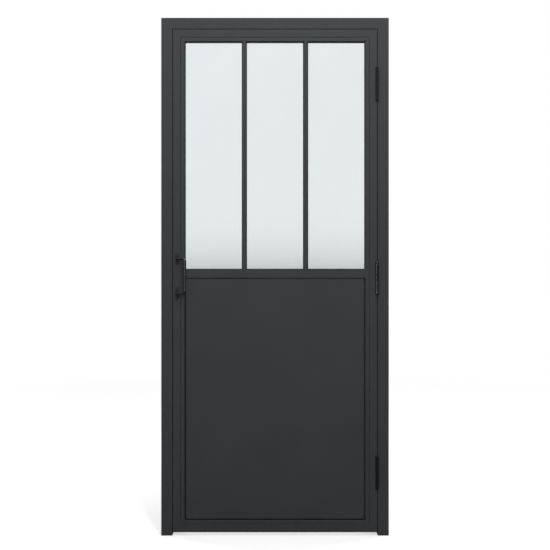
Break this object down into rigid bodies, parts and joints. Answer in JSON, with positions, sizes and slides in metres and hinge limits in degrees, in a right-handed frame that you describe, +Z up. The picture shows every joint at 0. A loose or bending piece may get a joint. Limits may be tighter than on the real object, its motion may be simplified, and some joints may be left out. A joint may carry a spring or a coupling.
{
  "type": "glass door",
  "caption": "Steel-framed glass door in its frame: frosted panes side by side over a flat metal panel, on weld-on barrel hinges, with cranked pull handles.",
  "frame": {"origin": "on the floor, under the middle of the leaf's width and thickness", "axes": "+X to the right seen from the pull side (towards the hinges), +Y away from the pull side, +Z up"},
  "size_m": [0.9232, 0.147, 2.0996],
  "materials": {
    "frame_coat": "matt fine-texture powder coat, anthracite grey",
    "leaf_coat": "matt fine-texture powder coat, anthracite grey",
    "hinge_black": "satin black lacquer on steel",
    "handle_black": "satin black coating on steel rod",
    "screw_black": "black-finished steel",
    "frosted_glass": "satin-frosted safety glass, pale grey-green",
    "seal_rubber": "matt black sponge rubber",
    "gasket_rubber": "matt black extruded rubber",
    "pin_steel": "ground steel, greased",
    "washer_acetal": "turned black acetal",
    "block_plastic": "matt grey plastic",
    "catch_housing": "matt black housing round a flat magnet"
  },
  "bodies": {
    "frame": {"latch_jamb": "frame_coat", "hinge_jamb": "frame_coat", "head": "frame_coat", "latch_stop": "frame_coat", "hinge_stop": "frame_coat", "head_stop": "frame_coat", "latch_seal": "seal_rubber", "hinge_seal": "seal_rubber", "head_seal": "seal_rubber", "catch_magnet": "catch_housing", "lower_hinge_jamb_half": "hinge_black", "middle_hinge_jamb_half": "hinge_black", "upper_hinge_jamb_half": "hinge_black", "lower_hinge_pin": "pin_steel", "middle_hinge_pin": "pin_steel", "upper_hinge_pin": "pin_steel", "lower_hinge_washer": "washer_acetal", "middle_hinge_washer": "washer_acetal", "upper_hinge_washer": "washer_acetal"},
    "leaf": {"latch_stile": "leaf_coat", "hinge_stile": "leaf_coat", "top_rail": "leaf_coat", "bottom_rail": "leaf_coat", "inner_frame_latch": "leaf_coat", "inner_frame_hinge": "leaf_coat", "inner_frame_top": "leaf_coat", "inner_frame_bottom": "leaf_coat", "mid_rail": "leaf_coat", "latch_glazing_bar": "leaf_coat", "hinge_glazing_bar": "leaf_coat", "glass_latch_pane": "frosted_glass", "glass_middle_pane": "frosted_glass", "glass_hinge_pane": "frosted_glass", "lower_panel": "leaf_coat", "panel_back": "leaf_coat", "front_gasket_latch_pane": "gasket_rubber", "front_gasket_middle_pane": "gasket_rubber", "front_gasket_hinge_pane": "gasket_rubber", "front_gasket_panel": "gasket_rubber", "rear_gasket_latch_pane": "gasket_rubber", "rear_gasket_middle_pane": "gasket_rubber", "rear_gasket_hinge_pane": "gasket_rubber", "rear_gasket_panel": "gasket_rubber", "rear_bead_latch": "leaf_coat", "rear_bead_hinge": "leaf_coat", "rear_bead_top": "leaf_coat", "rear_bead_bottom": "leaf_coat", "rear_bead_mid": "leaf_coat", "rear_bead_latch_bar": "leaf_coat", "rear_bead_hinge_bar": "leaf_coat", "setting_blocks": "block_plastic", "bead_screws": "screw_black", "lower_hinge_leaf_half": "hinge_black", "middle_hinge_leaf_half": "hinge_black", "upper_hinge_leaf_half": "hinge_black", "front_handle": "handle_black", "rear_handle": "handle_black", "front_handle_screws": "screw_black", "rear_handle_screws": "screw_black"}
  },
  "joints": [
    {"name": "leaf_hinge", "type": "hinge", "parent": "frame", "child": "leaf", "pos_m": [0.4135, -0.02655, 1.044], "axis": [0, 0, 1], "range_deg": [0, 170]}
  ]
}
